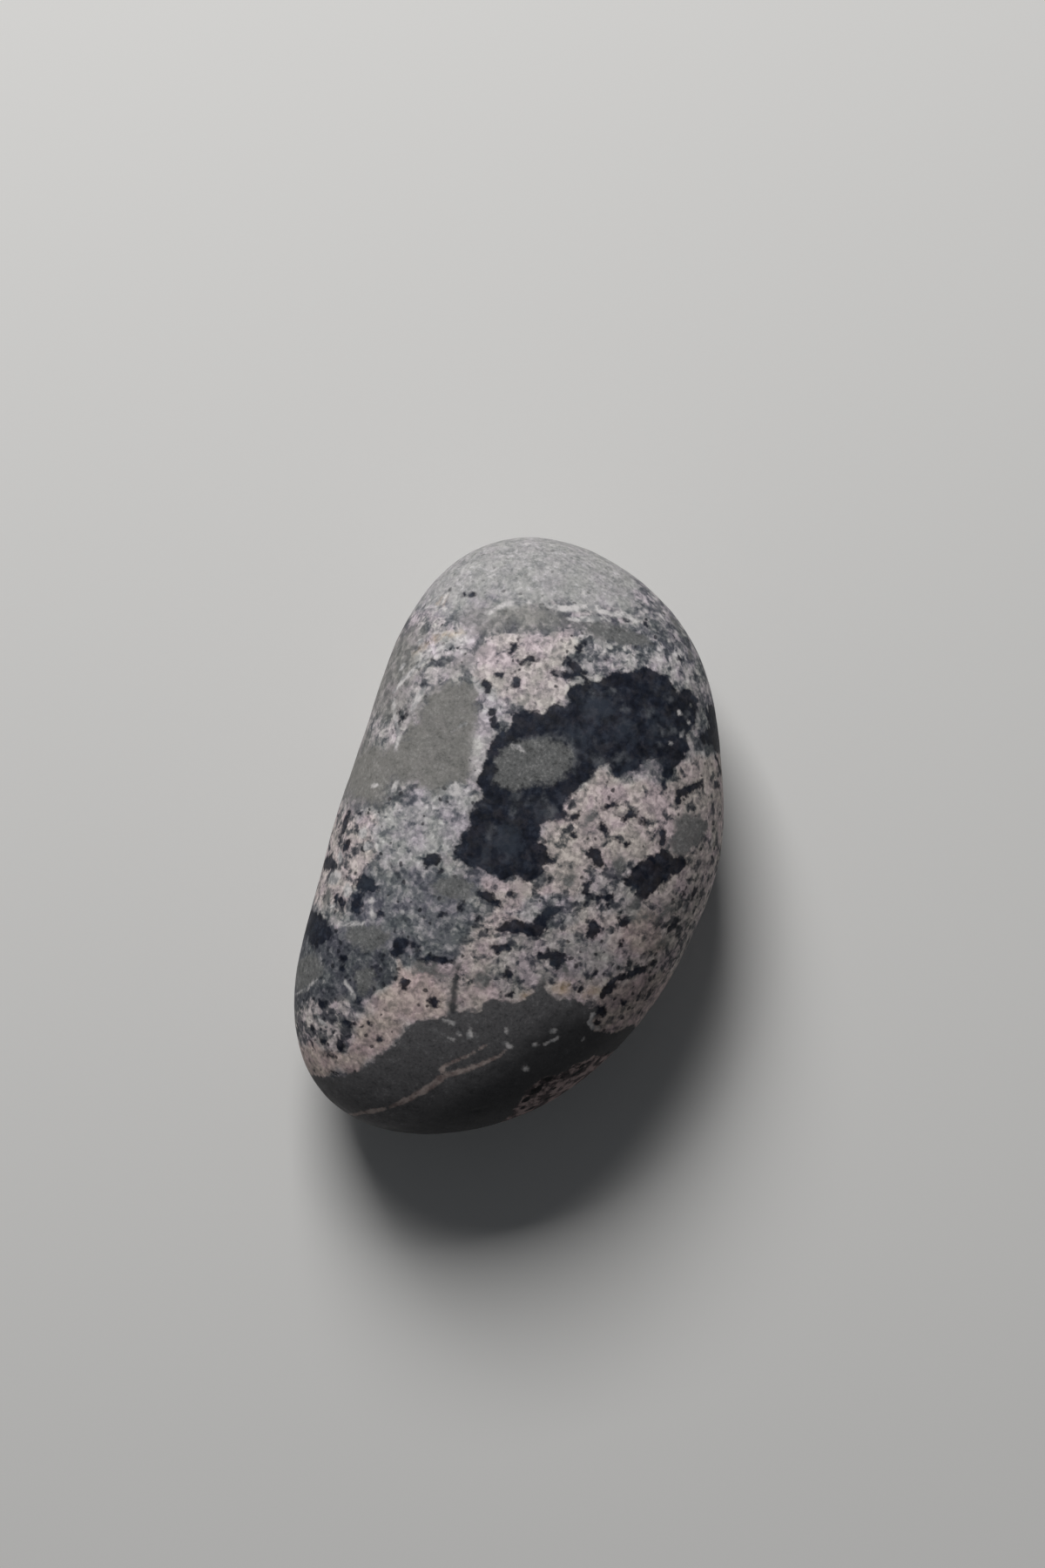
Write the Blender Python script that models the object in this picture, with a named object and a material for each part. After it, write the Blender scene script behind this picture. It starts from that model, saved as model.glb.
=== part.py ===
# A river pebble: one water-worn stone, lying on the flat that it rests on.
# Metres, +Z up. +Y runs along the stone and +X is its rounder flank. The origin is under the
# middle of the stone, on the surface that it stands on.

import math

import bmesh
import bpy
from mathutils import Vector, noise

# Driving dimensions.
LENGTH = 0.0831
WIDTH = 0.0513
THICKNESS = 0.0340

# The stone's outline seen from above: its distance from the middle, in millimetres, at even
# angles that start at +X and turn towards +Y.
OUTLINE_MM = (
    27.5, 28.7, 31.3, 36.6, 40.4, 40.7, 33.0, 25.7,
    23.7, 25.2, 31.6, 41.1, 41.1, 36.2, 31.3, 28.2,
)

# Heights of the two domes above and below the widest line, before the base is worn flat.
UPPER_DOME = 0.0185
LOWER_DOME = 0.0165

# How round the flanks are: 1 is an ellipse, and less is boxier.
ROUND_FLANK = 0.90
STEEP_FLANK = 0.74
STEEP_SIDE = math.radians(155)

# The crown leans towards the narrow end by this share of its height.
CROWN_LEAN = Vector((0.05, 0.10))

# Height over which the water wore the base down to its flat.
BASE_WEAR = 0.0008
BASE_BLEND = 0.0006

# Broad swellings left by uneven wear: size across, and height.
SWELLINGS = ((0.026, 0.00050), (0.011, 0.00016))
SWELLING_SEED = Vector((3.1, 7.4, 1.9))

# Faces along one edge of the cube that the stone is rounded from.
FACES_ALONG_EDGE = 26

STONE_GREY = (0.150, 0.155, 0.150, 1.0)
STONE_ROUGHNESS = 0.68


def outline_radius(angle):
    """The outline's radius at any angle, on the smooth closed curve through the even points."""
    count = len(OUTLINE_MM)
    half = count // 2
    total = 0.0
    for index, radius in enumerate(OUTLINE_MM):
        turn = angle - 2 * math.pi * index / count
        waves = sum(math.cos(k * turn) for k in range(1, half))
        total += radius * (1 + 2 * waves + math.cos(half * turn)) / count
    return total / 1000


def flank_power(angle):
    """How boxy the stone's section is towards this angle."""
    steepness = (0.5 + 0.5 * math.cos(angle - STEEP_SIDE)) ** 2
    return ROUND_FLANK + (STEEP_FLANK - ROUND_FLANK) * steepness


def rounded(direction):
    """The point of the stone in this direction from its middle, before wear."""
    angle = math.atan2(direction.y, direction.x)
    power = flank_power(angle)
    across = math.hypot(direction.x, direction.y)
    reach = outline_radius(angle) * across**power
    dome = UPPER_DOME if direction.z > 0 else LOWER_DOME
    height = math.copysign(abs(direction.z) ** power * dome, direction.z)
    lean = CROWN_LEAN * max(height, 0.0) * (1 - across)
    return Vector((math.cos(angle) * reach + lean.x, math.sin(angle) * reach + lean.y, height))


def swelling(point, direction):
    """How far the surface stands proud here. It fades out at the rim, which keeps its outline."""
    lift = sum(size * noise.noise(point / across + SWELLING_SEED) for across, size in SWELLINGS)
    return lift * direction.z**2


def worn_height(height):
    """Height above the resting flat: zero on the flat, with a soft turn up from it."""
    above = height + LOWER_DOME - BASE_WEAR
    if above <= -BASE_BLEND:
        return 0.0
    if above >= BASE_BLEND:
        return above
    return (above + BASE_BLEND) ** 2 / (4 * BASE_BLEND)


def fit_box(mesh, size):
    """Scales the mesh to this size, and sets the middle of its base on the origin."""
    low = Vector(min(v.co[axis] for v in mesh.verts) for axis in range(3))
    high = Vector(max(v.co[axis] for v in mesh.verts) for axis in range(3))
    base = Vector(((low.x + high.x) / 2, (low.y + high.y) / 2, low.z))
    scale = Vector(size[axis] / (high[axis] - low[axis]) for axis in range(3))
    bmesh.ops.translate(mesh, verts=mesh.verts, vec=-base)
    bmesh.ops.scale(mesh, verts=mesh.verts, vec=scale)


def stone_material():
    material = bpy.data.materials.new("mottled_grey_stone")
    material.use_nodes = True
    shader = material.node_tree.nodes["Principled BSDF"]
    shader.inputs["Base Color"].default_value = STONE_GREY
    shader.inputs["Roughness"].default_value = STONE_ROUGHNESS
    shader.inputs["Metallic"].default_value = 0.0
    return material


def make_pebble(collection):
    stone = bmesh.new()
    bmesh.ops.create_cube(stone, size=2.0)
    bmesh.ops.subdivide_edges(
        stone, edges=stone.edges, cuts=FACES_ALONG_EDGE - 1, use_grid_fill=True
    )
    for vertex in stone.verts:
        # Even steps of angle along the cube's edges give faces of about one size.
        even = Vector(math.tan(part * math.pi / 4) for part in vertex.co)
        direction = even.normalized()
        point = rounded(direction)
        point += direction * swelling(point, direction)
        point.z = worn_height(point.z)
        vertex.co = point
    fit_box(stone, (WIDTH, LENGTH, THICKNESS))
    bmesh.ops.recalc_face_normals(stone, faces=stone.faces)

    mesh = bpy.data.meshes.new("pebble")
    stone.to_mesh(mesh)
    stone.free()
    mesh.shade_smooth()
    mesh.materials.append(stone_material())
    collection.objects.link(bpy.data.objects.new("pebble", mesh))


def main():
    for old in list(bpy.data.objects):
        bpy.data.objects.remove(old)
    collection = bpy.data.collections.new("river_pebble")
    bpy.context.scene.collection.children.link(collection)
    make_pebble(collection)


main()
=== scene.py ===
import math
import random

import bmesh
import bpy
import numpy as np
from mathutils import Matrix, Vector, noise
from mathutils.bvhtree import BVHTree
from mathutils.kdtree import KDTree


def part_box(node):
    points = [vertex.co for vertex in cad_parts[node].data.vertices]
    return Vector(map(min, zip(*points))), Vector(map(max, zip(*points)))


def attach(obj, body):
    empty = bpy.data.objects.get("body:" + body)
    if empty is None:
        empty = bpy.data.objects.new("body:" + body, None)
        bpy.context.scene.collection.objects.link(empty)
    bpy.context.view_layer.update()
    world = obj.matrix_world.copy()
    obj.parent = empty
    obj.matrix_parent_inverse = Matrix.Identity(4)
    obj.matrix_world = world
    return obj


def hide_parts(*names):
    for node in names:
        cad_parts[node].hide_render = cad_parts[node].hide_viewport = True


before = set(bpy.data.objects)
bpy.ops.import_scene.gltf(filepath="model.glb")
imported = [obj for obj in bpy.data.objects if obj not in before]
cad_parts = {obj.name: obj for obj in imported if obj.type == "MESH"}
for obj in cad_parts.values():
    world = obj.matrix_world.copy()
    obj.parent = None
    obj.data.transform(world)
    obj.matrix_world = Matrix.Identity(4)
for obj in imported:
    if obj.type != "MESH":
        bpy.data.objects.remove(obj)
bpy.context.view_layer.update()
mm = 0.001  # every size below is in millimetres

view = {
    "turn": 19.0,  # degrees that the stone leans clockwise from the picture's up
    "aim": (-3.11, 8.70),  # the place on the stone that lies in the middle of the picture
    "distance": 600.0,  # from the stone's widest line up to the camera
    "tall": 211.6,  # what the picture's long side spans at the widest line
    "sensor": 36.0,
}

stone = {
    "rows": 127,  # faces along one edge of the cube that the fine skin is rounded from
    "middle": (-2.0, 1.0, 15.0),  # where the skin is cast outwards from
    "crowding": 0.25,  # how far the faces gather on the upper side
    "widest": 16.5,  # height of the widest line
    "crown": 34.0,
    "unrolled": 0.55,  # how far the flanks are laid out flat for the marks
    "turnsUnder": (8.5, 3.5),  # heights between which the upper marks give way to those of the underside
    "underEdge": (5.0, 7.0),  # how far that edge wanders up and down, and over what length
    "swells": ((5.0, 0.060), (1.9, 0.030), (0.9, 0.014)),  # size across and height of the wear
    "pits": 420,
    "pitWidth": (0.5, 1.2),
    "pitDepth": 0.07,
    "crackDepth": 0.05,
    "crackEdge": (-0.3, 0.1),  # how far outside and inside a crack's edge its side slopes
    "grooveDepth": 0.05,
    "grooveEdge": (-0.2, 0.2),
    "groundEdge": (1.6, 2.6, 0.8),  # how far the ground's edges wander, over what length, and how softly
    "far": 4.0,  # distances from a mark are stored up to this
    "seed": 11,
}

# Marks are placed on the stone as seen from above: x across it, y along it. An outline is a
# closed ring of points. A streak is a line of (x, y, width). A spot is (x, y, length, width, turn).
# Grow is how much wider every mark of its kind is drawn.
marks = {
    "navy": {"grow": 0.12, "outlines": (
        # the great dark patch, from its crown down its right side, then up its left side
        ((-1.3, 23.0), (-0.5, 23.9), (0.5, 24.5), (1.9, 24.8), (2.8, 26.3), (4.3, 27.1), (5.8, 27.8),
         (7.1, 28.7), (8.2, 29.1), (9.4, 28.8), (10.7, 28.5), (11.7, 27.8), (12.8, 27.0), (13.7, 27.9),
         (14.7, 27.7), (15.5, 27.1), (15.8, 26.1), (16.1, 25.0), (16.2, 23.8), (15.6, 22.7), (15.7, 21.4),
         (16.6, 20.5), (16.2, 19.4), (15.9, 18.1), (15.5, 16.9), (15.2, 15.8), (15.6, 13.8), (14.7, 14.5),
         (14.3, 16.8), (13.0, 17.7), (11.5, 16.9), (10.8, 15.5), (9.6, 15.0), (8.3, 13.7), (7.1, 15.2),
         (5.9, 14.4), (5.2, 13.1), (4.9, 11.9), (4.2, 10.8), (3.5, 9.7), (2.9, 8.3), (3.2, 7.3), (4.1, 6.5),
         (3.4, 5.8), (2.0, 5.3), (1.0, 4.4), (0.9, 3.2), (1.3, 2.2), (2.4, 1.5), (3.4, 0.7), (4.3, 0.2),
         (3.4, -0.5), (3.4, -1.5), (3.7, -2.3), (2.5, -2.7), (1.8, -3.6), (1.0, -3.0), (0.1, -3.0),
         (-0.8, -3.7), (-1.7, -4.4), (-2.5, -4.0), (-3.7, -4.0), (-4.9, -3.9), (-6.2, -4.0), (-7.4, -3.9),
         (-8.2, -3.4), (-9.3, -2.5), (-8.0, -1.5), (-8.7, -0.6), (-7.9, 0.2), (-8.0, 1.5), (-8.3, 2.6),
         (-8.0, 4.0), (-7.4, 5.4), (-8.2, 6.4), (-9.2, 7.1), (-9.0, 8.5), (-8.8, 10.0), (-8.7, 11.5),
         (-8.8, 13.0), (-8.3, 14.3), (-7.4, 15.0), (-7.0, 16.2), (-7.5, 17.3), (-6.4, 17.4), (-5.8, 18.1),
         (-4.6, 18.4), (-3.5, 18.7), (-3.3, 19.4), (-2.3, 20.3), (-1.1, 20.2), (-0.6, 21.2), (-1.3, 22.2)),
        # dark piece on the right rim
        ((17.4, 27.2), (18.6, 26.0), (19.7, 25.0), (20.4, 24.0), (21.2, 23.0), (21.4, 22.0), (20.6, 21.3),
         (19.8, 21.6), (19.4, 22.2), (18.3, 21.9), (17.1, 22.4), (17.7, 23.4), (18.3, 24.3), (17.6, 25.2),
         (16.9, 26.3)),
        # dark patch on the right, under the grey-green one
        ((13.9, 0.9), (14.8, 2.0), (14.7, 3.2), (15.7, 4.3), (16.0, 5.1), (17.1, 5.4), (17.6, 6.5),
         (18.6, 6.4), (19.5, 5.9), (20.2, 6.7), (21.0, 6.5), (21.6, 6.0), (21.3, 5.1), (20.9, 4.3),
         (20.0, 3.6), (19.5, 2.6), (18.7, 1.9), (18.3, 0.8), (17.8, -0.7), (17.0, -0.9), (16.1, -0.2),
         (15.5, 0.5), (14.8, 0.3)),
        # long dark wedge in the cream
        ((-0.2, -10.9), (1.5, -9.4), (3.0, -9.0), (3.9, -8.8), (4.6, -7.7), (5.1, -6.7), (6.0, -5.9),
         (7.3, -5.3), (7.0, -6.4), (6.1, -7.4), (6.1, -8.9), (5.9, -10.3), (5.0, -10.1), (3.6, -10.3),
         (2.4, -10.8), (1.2, -11.2)),
        ((-0.5, -13.4), (0.6, -12.9), (1.6, -12.7), (2.4, -12.1), (2.6, -12.9), (1.6, -13.4),
         (0.6, -13.9)),
        ((6.0, -12.6), (7.3, -11.5), (8.3, -11.0), (10.2, -11.2), (9.8, -11.8), (9.7, -13.0), (9.5, -14.3),
         (9.1, -13.4), (7.9, -12.6), (6.8, -12.9)),
        ((11.3, -6.0), (13.1, -5.7), (13.2, -7.2), (12.6, -8.1), (11.4, -8.2), (11.8, -7.2)),
        # left flank
        ((-20.0, -10.7), (-19.2, -9.9), (-17.8, -10.2), (-16.9, -11.2), (-17.5, -11.9), (-19.9, -11.8)),
        ((-19.8, -12.9), (-18.9, -12.2), (-18.2, -14.2), (-18.6, -15.2), (-19.7, -14.4)),
        ((-24.4, -16.6), (-23.2, -17.0), (-22.0, -17.6), (-20.8, -18.4), (-20.7, -19.4), (-21.6, -20.2),
         (-22.2, -21.0), (-23.1, -20.8), (-23.8, -20.2), (-24.8, -20.0), (-25.6, -19.0), (-25.2, -17.6)),
        ((-24.4, -8.8), (-23.8, -9.2), (-23.4, -10.0), (-24.0, -10.8), (-24.8, -10.8), (-25.0, -9.8)),
        ((-12.6, -5.1), (-11.4, -4.2), (-10.2, -4.2), (-10.4, -5.0), (-11.3, -5.6), (-11.7, -6.2),
         (-12.3, -5.8)),
        ((-12.6, -17.2), (-11.9, -15.8), (-11.0, -16.4), (-11.0, -17.3), (-11.3, -18.6),
         (-12.3, -18.9)),
        # low on the flanks, past the rim
        ((-31.0, 19.0), (-29.6, 21.4), (-30.4, 23.6), (-32.6, 24.4), (-34.4, 22.8), (-34.0, 20.2),
         (-32.6, 18.6)),
        ((29.4, -1.6), (30.2, 1.2), (31.8, 2.4), (32.0, 5.0), (34.2, 6.4), (36.2, 4.6), (36.0, 1.6),
         (34.2, 0.2), (33.4, -2.6), (31.2, -3.4)),
    ), "streaks": (
        # the long black line
        ((21.6, -8.2, 0.6), (21.0, -9.0, 0.8), (20.2, -9.6, 0.9), (19.4, -10.4, 0.9), (18.4, -11.4, 0.7),
         (17.4, -12.1, 0.9), (16.9, -13.4, 1.2), (16.4, -14.9, 0.6)),
        ((17.6, 13.3, 0.5), (17.3, 14.4, 1.0), (18.3, 15.0, 1.2), (18.7, 15.9, 0.9), (19.8, 16.6, 0.6)),
        ((-3.0, 26.5, 0.6), (-1.9, 26.2, 1.3), (-0.8, 25.5, 1.2), (0.3, 25.2, 0.5)),
        ((-3.9, 24.1, 0.5), (-2.8, 24.2, 0.7), (-1.3, 24.6, 0.6)),
        ((-4.0, -6.8, 0.6), (-2.6, -7.3, 0.9), (-1.0, -7.6, 0.8), (-0.3, -7.8, 0.4)),
        ((-8.6, -18.1, 0.3), (-6.5, -17.4, 0.6), (-4.2, -17.0, 0.4)),
        ((-10.8, -16.5, 0.7), (-9.2, -16.9, 0.7)),
        ((8.5, 3.2, 0.8), (9.3, 2.7, 1.4), (10.3, 1.9, 1.2)),
        ((-10.2, 16.5, 1.0), (-9.8, 16.0, 0.7), (-9.2, 15.1, 0.6)),
        ((-22.2, -13.8, 0.6), (-20.9, -14.3, 0.9)),
        ((20.4, 20.6, 0.5), (21.3, 19.4, 0.7), (22.3, 18.2, 0.5)),
        ((1.2, 8.7, 1.2), (2.6, 7.6, 1.0)),
    ), "spots": (
        (3.2, 6.5, 1.7, 1.4, 0), (21.7, 17.2, 1.8, 1.0, 10), (17.1, 8.1, 2.3, 1.1, 95),
        (11.9, 9.3, 1.7, 0.7, 35), (13.6, 9.3, 1.3, 1.0, 0), (9.3, 6.5, 1.2, 0.6, 150),
        (5.1, 6.7, 1.2, 0.8, 95), (6.0, 4.4, 0.9, 0.8, 0), (13.3, 5.6, 0.7, 0.6, 0),
        (11.4, 5.7, 0.5, 0.5, 0), (9.0, 9.7, 1.6, 0.6, 30), (12.9, -2.0, 1.2, 1.1, 30),
        (11.7, -2.5, 1.2, 0.9, 60), (13.1, -3.0, 1.0, 0.6, 90), (9.7, -1.9, 1.6, 0.7, 100),
        (10.4, -3.4, 0.9, 0.5, 60), (16.0, -4.4, 1.7, 1.5, 40), (16.4, -7.2, 1.0, 0.7, 90),
        (14.5, -12.2, 1.2, 0.7, 80), (11.7, -11.8, 0.7, 0.5, 0), (0.0, -6.1, 1.1, 0.9, 0),
        (-5.6, -9.4, 1.8, 0.5, 110), (-7.6, -11.4, 0.9, 0.7, 0), (-3.0, -10.6, 1.0, 0.6, 90),
        (-9.7, -6.2, 1.0, 0.5, 80), (-24.0, -4.3, 3.3, 1.2, 85), (-22.8, -6.7, 1.8, 1.3, 60),
        (-22.5, -2.1, 1.1, 0.8, 0), (-15.6, -13.9, 0.9, 0.6, 0), (-9.4, -22.0, 1.3, 1.0, 100),
        (-2.9, -18.7, 1.4, 0.7, 90), (1.2, -17.8, 1.4, 0.6, 170), (3.2, -16.1, 1.5, 0.9, 80),
        (4.7, -18.7, 1.0, 0.7, 60), (-0.3, -23.4, 1.0, 0.6, 0), (22.3, -12.4, 1.8, 0.9, 95),
        (21.1, -13.6, 0.7, 0.3, 90), (19.4, -14.6, 1.0, 0.8, 0), (16.9, -16.9, 1.7, 1.4, 0),
        (16.8, -18.4, 1.0, 0.9, 0), (22.2, -3.0, 2.2, 0.8, 50), (23.6, 2.5, 1.8, 1.0, 80),
        (22.5, 1.8, 0.8, 0.5, 0), (24.0, -3.8, 0.9, 0.6, 0), (-10.3, 25.8, 1.6, 0.7, 75),
        (-7.6, 24.8, 1.7, 0.9, 20), (-8.3, 21.4, 1.8, 1.2, 130), (-11.0, 21.6, 0.9, 0.8, 0),
        (-12.1, 19.8, 1.8, 1.2, 120), (-1.8, 28.7, 1.8, 0.8, 80), (-21.2, 12.0, 1.2, 0.5, 80),
        (-21.7, 10.6, 1.2, 0.5, 75), (-22.1, 12.6, 0.5, 0.4, 0), (-20.2, 20.5, 0.6, 0.4, 0),
        (-20.9, 30.2, 0.6, 0.4, 0), (-17.7, 30.6, 0.5, 0.4, 0), (-30.4, -1.2, 2.8, 1.4, 70),
        (-33.6, 9.6, 2.2, 1.2, 110), (31.4, 9.2, 1.8, 1.1, 40), (33.0, -7.6, 2.4, 1.2, 80),
        (-19.0, 30.3, 0.4, 0.4, 0), (-19.0, -28.1, 1.5, 1.1, 10), (-14.8, -32.5, 2.0, 1.4, 100),
        (-14.5, -26.2, 0.7, 0.7, 0), (-19.2, -31.6, 1.3, 0.7, 150), (-17.4, -32.8, 1.3, 0.7, 170),
        (-16.0, -34.4, 1.2, 0.5, 10), (-14.6, -29.5, 0.7, 0.4, 0), (-14.7, -36.3, 1.0, 0.5, 20),
        (-18.2, -21.5, 0.9, 0.6, 0), (-18.0, -22.8, 0.6, 0.5, 0), (-18.3, -34.0, 1.2, 0.4, 140),
        (-4.9, -23.0, 1.6, 1.3, 0), (-12.3, -28.6, 0.5, 0.4, 0), (-10.1, -30.1, 0.5, 0.5, 0),
        (-11.2, -26.2, 0.4, 0.3, 0), (2.3, 28.4, 0.5, 0.4, 0), (2.6, 34.4, 0.5, 0.4, 0),
        (5.6, 34.6, 0.5, 0.4, 0), (11.4, 31.6, 0.5, 0.4, 0), (13.4, -14.9, 0.8, 0.6, 90),
        (23.0, 12.0, 0.6, 0.4, 0), (24.4, 7.2, 0.8, 0.5, 90), (21.6, 7.4, 0.6, 0.4, 0),
    )},
    "sage": {"outlines": (
        # smooth patch on the left, out to the rim
        ((-13.1, 18.1), (-12.2, 16.2), (-11.8, 14.4), (-11.5, 12.6), (-10.9, 11.0), (-10.5, 9.3),
         (-10.2, 7.8), (-11.1, 6.3), (-12.4, 5.7), (-12.9, 4.6), (-14.5, 3.9), (-16.0, 4.0), (-17.8, 4.2),
         (-19.6, 4.4), (-20.4, 2.6), (-20.3, 0.8), (-21.8, -0.2), (-23.4, -0.2), (-24.6, 1.0), (-25.4, 1.2),
         (-26.2, 2.6), (-27.2, 3.6), (-26.6, 5.2), (-25.2, 5.4), (-24.2, 6.6), (-22.2, 6.8), (-20.9, 7.9),
         (-20.1, 10.2), (-19.3, 12.8), (-19.4, 15.2), (-18.2, 17.2), (-16.8, 18.6), (-15.0, 19.2)),
    )},
    "veil": {"outlines": (
        # smooth grey that melts into the ground: the left part of the lens under the top end, and the
        # outer side of the smooth patch
        ((-18.8, 27.0), (-17.6, 29.0), (-14.4, 30.4), (-11.0, 31.8), (-7.8, 32.4), (-4.2, 31.8),
         (-0.6, 32.2), (-0.4, 31.0), (-4.4, 30.8), (-6.5, 30.0), (-9.0, 28.6), (-11.4, 28.4), (-13.4, 26.8),
         (-16.8, 25.8)),
        ((-20.0, 12.6), (-20.6, 8.0), (-22.6, 6.6), (-25.0, 8.8), (-26.2, 8.2), (-27.8, 5.2), (-27.0, 3.0),
         (-25.6, -0.6), (-24.4, -2.2), (-20.6, -0.4), (-18.0, 6.0)),
        ((-21.0, 13.0), (-21.6, 16.2), (-20.8, 18.8), (-22.4, 21.0), (-21.8, 23.6), (-23.8, 24.4),
         (-26.4, 20.8), (-27.4, 16.0), (-26.0, 11.6), (-23.4, 10.6)),
    ), "streaks": (
        ((-14.2, 24.0, 1.0), (-15.6, 22.4, 1.6), (-17.0, 20.6, 1.2)),
    )},
    "moss": {"outlines": (
        # darker grey-green clasts
        # heart of the great dark patch
        ((-7.3, 11.9), (-6.6, 13.3), (-4.9, 14.2), (-3.3, 14.9), (-1.7, 15.6), (0.1, 15.8), (1.9, 15.1),
         (2.3, 13.4), (1.9, 11.6), (0.6, 10.3), (-0.6, 9.6), (-2.0, 9.0), (-3.3, 8.0), (-5.2, 7.3),
         (-6.9, 7.5), (-7.1, 9.2)),
        # right end of the smooth lens
        ((-2.2, 31.6), (-0.6, 32.4), (1.5, 33.0), (3.8, 33.2), (5.6, 33.0), (7.6, 32.2), (6.0, 31.5),
         (4.2, 31.0), (2.6, 30.6), (-1.0, 30.6)),
        # clast near the right rim
        ((17.8, 11.2), (19.2, 12.3), (21.0, 12.3), (22.3, 11.6), (22.2, 9.8), (21.6, 8.3), (21.2, 7.0),
         (20.0, 6.6), (18.8, 6.4), (18.3, 7.6), (18.6, 9.2)),
        # clasts in the grey band, lower left
        ((-16.6, -22.4), (-15.0, -21.2), (-13.8, -22.2), (-13.0, -24.2), (-14.4, -25.0),
         (-15.8, -24.2)),
        ((-23.0, -22.6), (-21.4, -22.4), (-20.2, -23.6), (-20.8, -25.6), (-22.2, -27.8), (-24.0, -26.8),
         (-24.6, -24.2)),
        ((-19.5, -17.0), (-16.0, -15.6), (-13.4, -16.2), (-13.6, -18.4), (-16.4, -19.6),
         (-19.0, -19.0)),
        ((-9.2, -19.0), (-6.2, -18.4), (-4.0, -19.2), (-6.0, -19.9), (-8.6, -20.0)),
        ((-9.6, -6.6), (-6.4, -5.6), (-4.6, -6.4), (-5.4, -8.6), (-8.2, -9.4), (-10.4, -8.4)),
        # low on the flanks, past the rim
        ((-32.4, -9.6), (-30.8, -6.8), (-32.0, -3.8), (-35.2, -2.8), (-37.4, -5.2), (-36.6, -8.8),
         (-34.6, -10.4)),
        ((29.4, 14.4), (31.2, 17.0), (33.8, 18.2), (35.8, 16.0), (34.6, 13.0), (31.6, 12.2)),
    ), "streaks": (
        ((17.0, -3.6, 0.7), (18.7, -2.8, 0.9), (20.6, -1.7, 0.6)),
        ((-3.4, -17.2, 0.5), (-2.9, -20.6, 1.1), (-2.1, -23.8, 1.0)),
    ), "spots": (
        (7.0, -1.6, 2.4, 1.5, 75), (21.0, -0.7, 2.0, 1.3, 0), (21.8, -5.4, 2.2, 1.1, 20),
        (7.0, 7.4, 2.0, 1.3, 75), (12.7, 2.6, 2.6, 1.7, 90), (10.8, -13.4, 1.8, 1.2, 0),
        (8.2, -15.6, 1.8, 1.4, 60), (16.4, -2.0, 2.2, 1.0, 60), (-23.0, -14.0, 1.8, 2.0, 0),
        (0.6, -18.0, 2.0, 2.2, 60), (9.2, 36.0, 2.6, 1.4, 140), (6.4, 39.0, 2.4, 1.2, 140),
        (12.6, 32.6, 1.8, 1.2, 120),
    )},
    "slate": {"outlines": (
        ((-21.0, -39.5), (-17.8, -37.7), (-15.3, -37.4), (-13.6, -36.8), (-12.0, -35.5), (-10.8, -34.3),
         (-9.9, -33.1), (-9.2, -31.6), (-8.1, -30.5), (-7.4, -29.0), (-7.0, -27.5), (-6.5, -26.8),
         (-5.2, -25.9), (-4.0, -25.2), (-2.9, -24.3), (-1.5, -23.4), (0.0, -22.8), (1.1, -22.1),
         (1.7, -20.9), (2.6, -20.2), (4.5, -19.9), (5.9, -19.3), (6.8, -18.3), (7.6, -17.1), (7.3, -16.0),
         (8.3, -15.7), (9.3, -16.6), (10.5, -17.2), (12.0, -17.2), (13.1, -16.6), (14.8, -16.6),
         (16.2, -17.0), (16.3, -19.1), (17.0, -19.6), (18.3, -19.3), (19.6, -18.9), (20.6, -18.0),
         (21.4, -17.2), (22.8, -17.4), (24.2, -16.0), (25.6, -16.6), (27.0, -14.6), (28.8, -14.8),
         (30.4, -12.4), (32.6, -13.0), (34.4, -10.4), (36.8, -10.6), (40.0, -7.0), (46.0, -60.0),
         (-40.0, -60.0)),
    )},
    "paintedShade": {"outlines": (
        # painted shade: the slate made darker on its side that turns away from the light
        ((9.0, -23.0), (14.0, -18.0), (26.0, -14.0), (32.0, -24.0), (20.0, -38.0), (2.0, -50.0),
         (-14.0, -48.0),
         (-6.0, -41.5), (2.0, -36.0)),
    )},
    "vein": {"streaks": (
        # pink vein across the slate, and its branch
        ((-12.6, -42.6, 0.6), (-11.2, -41.1, 0.6), (-9.3, -40.4, 0.7), (-8.0, -39.8, 0.8),
         (-7.0, -39.1, 0.8), (-6.4, -38.7, 0.5)),
        ((-5.8, -38.3, 0.5), (-4.9, -37.5, 0.9), (-3.9, -36.6, 1.0), (-3.1, -35.6, 1.0), (-2.3, -34.8, 1.1),
         (-1.5, -33.8, 1.1), (-0.7, -32.6, 1.0), (0.1, -31.8, 0.9), (1.2, -31.0, 0.8), (2.3, -30.2, 0.7),
         (3.4, -29.4, 0.6), (4.2, -28.6, 0.55), (5.2, -27.7, 0.5), (6.0, -26.9, 0.4), (6.5, -26.1, 0.3)),
        ((-0.8, -31.6, 0.5), (-0.8, -30.8, 0.4), (0.1, -30.0, 0.4), (1.0, -29.1, 0.35), (2.0, -28.2, 0.3),
         (2.9, -27.2, 0.25), (3.7, -26.2, 0.15)),
    )},
    "patch": {"outlines": (
        # pink patch low on the right, full of dark holes
        ((8.6, -36.4), (9.9, -34.0), (10.4, -32.3), (10.9, -31.0), (11.3, -29.5), (12.0, -28.2),
         (13.2, -27.4), (14.2, -26.9), (15.0, -26.0), (15.8, -25.0), (16.8, -24.1), (17.8, -23.0),
         (18.9, -22.4), (20.6, -21.0), (21.2, -22.4), (20.4, -24.0), (20.9, -25.8), (19.6, -27.4),
         (18.2, -27.8), (18.0, -29.8), (16.4, -31.2), (14.6, -31.4), (13.8, -33.2), (12.0, -33.8),
         (11.2, -35.8), (9.4, -37.0)),
    )},
    "hole": {"spots": (
        # dark holes in the pink patch
        (13.3, -27.8, 2.2, 1.0, 15), (12.3, -29.6, 2.8, 1.4, 70), (11.4, -31.3, 1.6, 1.1, 60),
        (14.9, -27.0, 1.6, 0.7, 45), (17.0, -24.6, 2.2, 0.9, 50), (11.0, -32.8, 1.2, 0.6, 60),
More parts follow.
